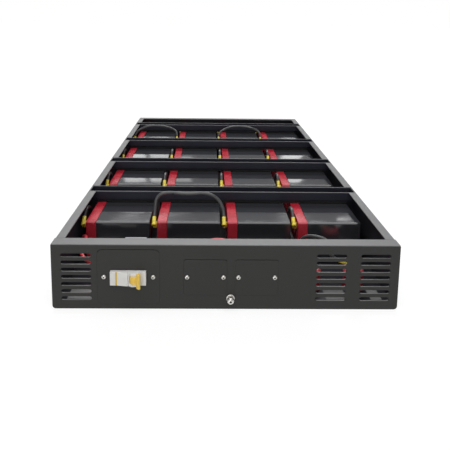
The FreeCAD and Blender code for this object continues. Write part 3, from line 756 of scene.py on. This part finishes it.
def sleeve_mesh():
    """The moulded sleeve over a tab, its edges well rounded."""
    work = bmesh.new()
    bmesh.ops.create_cube(work, size=1.0, matrix=Matrix.Diagonal((*sleeve_size, 1)))
    bmesh.ops.bevel(
        work, geom=work.edges[:], offset=sleeve_rounding, segments=3, profile=0.5, affect="EDGES",
    )
    return filled(bpy.data.meshes.new("sleeve"), work)


connector_vinyl, place = new_finish("connector_vinyl")
grain = place.noise(900.0, 2.0)
cloud = place.noise(220.0, 2.0)
coat_with(connector_vinyl, place, {
    "Base Color": cloud.between(0.3, 0.7).mix((0.90, 0.69, 0.05, 1), (0.96, 0.82, 0.11, 1)),
    "Roughness": 0.32 + 0.15 * (grain - 0.5),
    "Normal": grain.bump(0.00004),
    "Coat Weight": 0.25,
})
# The copper strands inside the barrels' mouths are painted very dark: painted shade over the copper's own
# colour.
shaded_copper, place = new_finish("copper_strands_shaded")
strands = place.noise(3200.0, 1.0)
coat_with(shaded_copper, place, {
    "Base Color": strands.between(0.35, 0.65).mix((0.03, 0.014, 0.008, 1), (0.12, 0.055, 0.025, 1)),
    "Metallic": 0.7,
    "Roughness": 0.45 + 0.2 * (strands - 0.5),
    "Normal": strands.bump(0.0002),
})
mouth = -barrel_half
barrel = new_piece("barrel_pattern", lathe("barrel", [
    (0.0, mouth + 0.0052), (0.0022, mouth + 0.0050), (0.0025, mouth + 0.0004), (0.0029, mouth),
    (0.0033, mouth + 0.0006), (0.0032, mouth + 0.0030), (0.0028, mouth + 0.0040), (0.0028, mouth + 0.0054),
    (0.0031, mouth + 0.0064), (0.0031, mouth + 0.0078), (0.0028, mouth + 0.0088),
    (0.0028, barrel_half - 0.0030), (0.0030, barrel_half - 0.0010), (0.0029, barrel_half - 0.0002),
    (0.0026, barrel_half), (0.0, barrel_half),
], 20))
core = new_piece("core_pattern", lathe("core", [
    (0.0, 0.0), (0.0024, 0.0), (0.0024, 0.0008), (0.0, 0.0010),
], 16))
sleeve = new_piece("sleeve_pattern", sleeve_mesh())
lug_ring = new_piece("lug_pattern", lathe("lug", [
    (0.0032, 0.0), (0.0060, 0.0), (0.0060, 0.0010), (0.0032, 0.0010), (0.0032, 0.0),
], 32))

spots = [(row, column, end) for row in rows for column in columns for end in ("front", "rear")]
middles = [barrel_middle(*spot) for spot in spots]
ways = [barrel_way(row, end) for row, column, end in spots]
turns = [way.to_track_quat("Z", "X").to_euler() for way in ways]
core_places = [middle - way * (barrel_half - core_inset) for middle, way in zip(middles, ways)]
sleeve_places = [tab_root(*spot) + sleeve_reach for spot in spots]
unturned = (0, 0, 0)

lug_lean = math.radians(20)
lug_way = Vector((-math.cos(lug_lean), 0, math.sin(lug_lean)))
lug_neck = Vector((-7.0, 0, 4.3)) * mm
lug_reach = 14.0 * mm
lug_ends = [top + lug_neck + lug_reach * lug_way for top in post_tops]
lug_middles = [end - lug_way * barrel_half for end in lug_ends]
lug_turns = [lug_way.to_track_quat("Z", "Y").to_euler()] * 2

barrels = copies("crimp_barrels", barrel, middles + lug_middles, turns + lug_turns, connector_vinyl)
cores = copies("crimp_cores", core, core_places, turns, shaded_copper)
sleeves = copies("tab_sleeves", sleeve, sleeve_places, [unturned] * len(spots), connector_vinyl)
lug_rings = copies("lug_rings", lug_ring, post_tops, [unturned] * 2, tin)
for pattern in (barrel, core, sleeve, lug_ring):
    bpy.data.objects.remove(pattern)
dress(lug_rings, "crimp_connectors", tin)
for piece, finish in ((barrels, connector_vinyl), (cores, shaded_copper), (sleeves, connector_vinyl)):
    dress(piece, "crimp_connectors", finish)

# Leads: flexible stranded leads of 5 mm outside, red at the breaker and black elsewhere.
# They are crimped into the connectors, and loop down into the gaps between the columns or arch over
# a battery. The first battery's red lead wears a black sleeve on its loop.

lead_radius = 2.5 * mm
sleeve_edge = 0.4 * mm


def jacket(name, dark, light, roughness, sleeve_from=None):
    """A smooth flexible jacket with handling marks; behind a given Y it wears a black sleeve."""
    material, place = new_finish(name)
    mark = place.noise(75.0, 4.0)
    fine = place.noise(1400.0, 2.0)
    colour = mark.between(0.3, 0.7).mix(dark, light)
    if sleeve_from:
        sleeved = place.axis("Y").between(sleeve_from, sleeve_from + sleeve_edge)
        colour = sleeved.mix(colour, (0.016, 0.016, 0.018, 1))
    return coat_with(material, place, {
        "Base Color": colour,
        "Roughness": roughness + 0.16 * (mark - 0.5),
        "Normal": fine.bump(0.00003),
    })


black_jacket = jacket("black_jacket", (0.050, 0.050, 0.053, 1), (0.068, 0.068, 0.071, 1), roughness=0.29)
red_jacket = jacket(
    "red_jacket", (0.58, 0.030, 0.045, 1), (0.68, 0.050, 0.065, 1), roughness=0.34, sleeve_from=-0.262,
)


def steps(start, *moves):
    """A route that passes each given step, in millimetres, away from its start."""
    return [start] + [start + Vector(move) * mm for move in moves]


def lead_curve(name, routes):
    """Round leads along smooth lines, each with its route's points as control points."""
    curve = bpy.data.curves.new(name, "CURVE")
    curve.dimensions = "3D"
    curve.bevel_depth = lead_radius
    curve.bevel_resolution = 5
    curve.resolution_u = 10
    curve.use_fill_caps = True
    for route in routes:
        spline = curve.splines.new("NURBS")
        spline.points.add(len(route) - 1)
        for point, place in zip(spline.points, route):
            point.co = (*place, 1)
        spline.order_u = 3
        spline.use_endpoint_u = True
    return new_piece(name, curve)


def front_loop(row, column):
    """The loop behind a battery's front connector, down into the gap."""
    start = lead_end(row, column, "front")
    return steps(start, (0, 8.5, 8.5), (0, 29, 5), (0, 40, -11), (0, 30, -28), (0, 8, -35))


def place_lead(node, route, material):
    """One lead held by the object at both ends."""
    piece = dress(lead_curve(node + "_finished", [route]), node, material)


links = []
for column in columns:
    for row in (1, 2):
        back = lead_end(row, column, "rear")
        links.append(front_loop(row + 1, column) + [back + Vector((0, 12, -12)) * mm, back])
    first = lead_end(3, column, "rear")
    second = lead_end(4, column, "rear")
    dip = (first + second) / 2 + Vector((0, 0, -18)) * mm
    away = steps(second, (0, -36, -16), (0, -12, -12))[1:]
    links.append(steps(first, (0, 12, -12), (0, 36, -16)) + [dip] + away + [second])
link_curve = lead_curve("link_line", links)
link_mesh = evaluated_mesh(link_curve)
bpy.data.objects.remove(link_curve)
dress(new_piece("column_links_finished", link_mesh), "column_links", black_jacket)

left = lead_end(1, 2, "front")
right = lead_end(1, 3, "front")
rise = steps(left, (0, 9, 9), (2.5, 12, 28), (18, 13, 34.5), (51, 13, 30.5))
fall = steps(right, (-27, 13, 34), (-9, 12, 25), (0, 9, 9))[1:]
place_lead("front_arch_lead", rise + fall + [right], black_jacket)
for node, column in (("rear_arch_lead_left", 1), ("rear_arch_lead_right", 3)):
    left = lead_end(4, column, "front")
    right = lead_end(4, column + 1, "front")
    rise = steps(left, (0, 8, 8), (13, 14, 17), (32, 14, 25), (60, 14, 26))
    fall = steps(right, (-22, 14, 22), (-6, 14, 15), (0, 8, 8))[1:]
    place_lead(node, rise + fall + [right], black_jacket)

entry_y = -0.3405
breaker_left = Vector((breaker_low[0], entry_y, plate_height))
breaker_right = Vector((breaker_high[0], entry_y, plate_height))
left_lug, right_lug = lug_ends
lug_run = lug_way * 16 * mm
gap = front_loop(1, 1)
forward = steps(gap[-1], (0, -24, 10), (11, -34, 17))[1:]
turn_in = steps(breaker_left, (-36, 18, 4), (-15, 0, 0))[1:]
place_lead("positive_lead", gap + forward + turn_in + [breaker_left], red_jacket)
over = steps(breaker_right, (20, 0, 0), (48, 16, 20), (74, 24, 25), (104, 25, 14), (131, 22, 2))
place_lead("breaker_lead", over + [left_lug + lug_run, left_lug], red_jacket)
gap = front_loop(1, 4)
forward = steps(gap[-1], (0, -24, 0), (2, -46, 12), (9, -60, 33))[1:]
turn_down = right_lug + lug_way * 20 * mm + Vector((7, 6, 20)) * mm
last = [turn_down, right_lug + lug_run, right_lug]
place_lead("negative_lead", gap + forward + last, black_jacket)

# Studio: a wide pale floor, a large soft light overhead, a strong one behind and a small one low in front,
# and far window lights that the glossy lids and cases mirror.

floor_half = 20.0
floor_drop = 0.0002
floor_corners = [(x * floor_half, y * floor_half, 0) for x, y in ((-1, -1), (1, -1), (1, 1), (-1, 1))]
floor_mesh = bpy.data.meshes.new("floor")
floor_mesh.from_pydata(floor_corners, [], [(0, 1, 2, 3)])
floor = new_piece("floor", floor_mesh)
floor.location.z = cad_box[0][2] - floor_drop
floor_paint, place = new_finish("floor_paint")
seen = place.add("ShaderNodeLightPath", output="Is Camera Ray")
for ray in ("Is Glossy Ray", "Is Transmission Ray"):
    seen = seen.maths("MAXIMUM", seen, place.add("ShaderNodeLightPath", output=ray))
away = place.add("ShaderNodeVectorMath", {"operation": "LENGTH"}, {0: place}, "Value").between(0.9, 2.2)
pale = away.mix((0.80, 0.80, 0.80, 1), (1.0, 1.0, 1.0, 1))
glow = place.add("ShaderNodeEmission", None, {"Color": seen.mix((0, 0, 0, 1), pale)})
matt = place.add("ShaderNodeBsdfDiffuse", None, {"Color": (0.25, 0.25, 0.25, 1)})
both = place.add("ShaderNodeAddShader", None, {0: matt, 1: glow})
place.add("ShaderNodeOutputMaterial", None, {"Surface": both})
floor_mesh.materials.append(floor_paint)

scene = bpy.context.scene
scene.world = bpy.data.worlds.new("room")
scene.world.use_nodes = True
scene.world.node_tree.nodes.clear()
sky = Shade(scene.world.node_tree).add("ShaderNodeTexCoord", output="Generated")
walls = sky.axis("Y").between(-0.2, 0.3).mix((0.10, 0.10, 0.10, 1), (0.40, 0.40, 0.41, 1))
room = sky.axis("Z").between(0.06, 0.14).mix((1, 1, 1, 1), walls)
room = sky.axis("Z").between(0.50, 0.75).mix(room, (0.30, 0.30, 0.30, 1))
sky.add("ShaderNodeOutputWorld", None, {"Surface": sky.add("ShaderNodeBackground", None, {"Color": room})})


def soft_light(name, place, aim, size, radiance):
    """A rectangular light that faces a point; radiance is what a mirror would show of it."""
    lamp = bpy.data.lights.new(name, "AREA")
    lamp.shape = "RECTANGLE"
    lamp.size, lamp.size_y = size
    lamp.energy = radiance * math.pi * size[0] * size[1]
    light = new_piece(name, lamp)
    light.location = place
    light.rotation_euler = (Vector(aim) - Vector(place)).to_track_quat("-Z", "Y").to_euler()


centre = (0, 0, 0.06)
soft_light("overhead", (0, -0.7, 1.7), centre, (1.8, 1.8), radiance=2.1)
soft_light("behind", (0, 1.9, 2.15), centre, (2.6, 0.9), radiance=5.8)
soft_light("front", (-0.5, -2.4, 0.40), centre, (2.4, 0.7), radiance=2.8)
window_y = 3.0
window_panes = [
    (-0.70, 1.56, 0.20, 0.55, 2.9),
    (-0.47, 1.56, 0.18, 0.55, 2.6),
    (-0.27, 1.66, 0.18, 0.30, 1.4),
    (0.72, 1.56, 0.20, 0.55, 3.2),
    (1.25, 2.10, 0.12, 0.16, 3.0),
]
for index, (x, z, width, tall, radiance) in enumerate(window_panes):
    soft_light(f"window_{index + 1}", (x, window_y, z), (x, 0, z), (width, tall), radiance)

# Camera: in front and a little above, nearly on the middle line, and tilted down a little.
# Its lens and shift give the photograph's framing.

scene.view_settings.view_transform = "Standard"
image_width = 450
focal_pixels = 468.35
camera_place = (-0.02274, -0.92606, 0.36879)
yaw, roll, pitch = (math.radians(angle) for angle in (-0.764, -0.696, 7.669))
lens = bpy.data.cameras.new("camera")
lens.sensor_width = 36.0
lens.sensor_fit = "HORIZONTAL"
lens.lens = focal_pixels / image_width * lens.sensor_width
lens.shift_x = 0.0176
lens.shift_y = -0.3211
camera = new_piece("camera", lens)
aim = Matrix.Rotation(yaw, 4, "Z") @ Matrix.Rotation(roll, 4, "Y") @ Matrix.Rotation(-pitch, 4, "X")
upright = Matrix.Rotation(quarter_turn, 4, "X")
camera.matrix_world = Matrix.Translation(camera_place) @ aim @ upright
scene.camera = camera
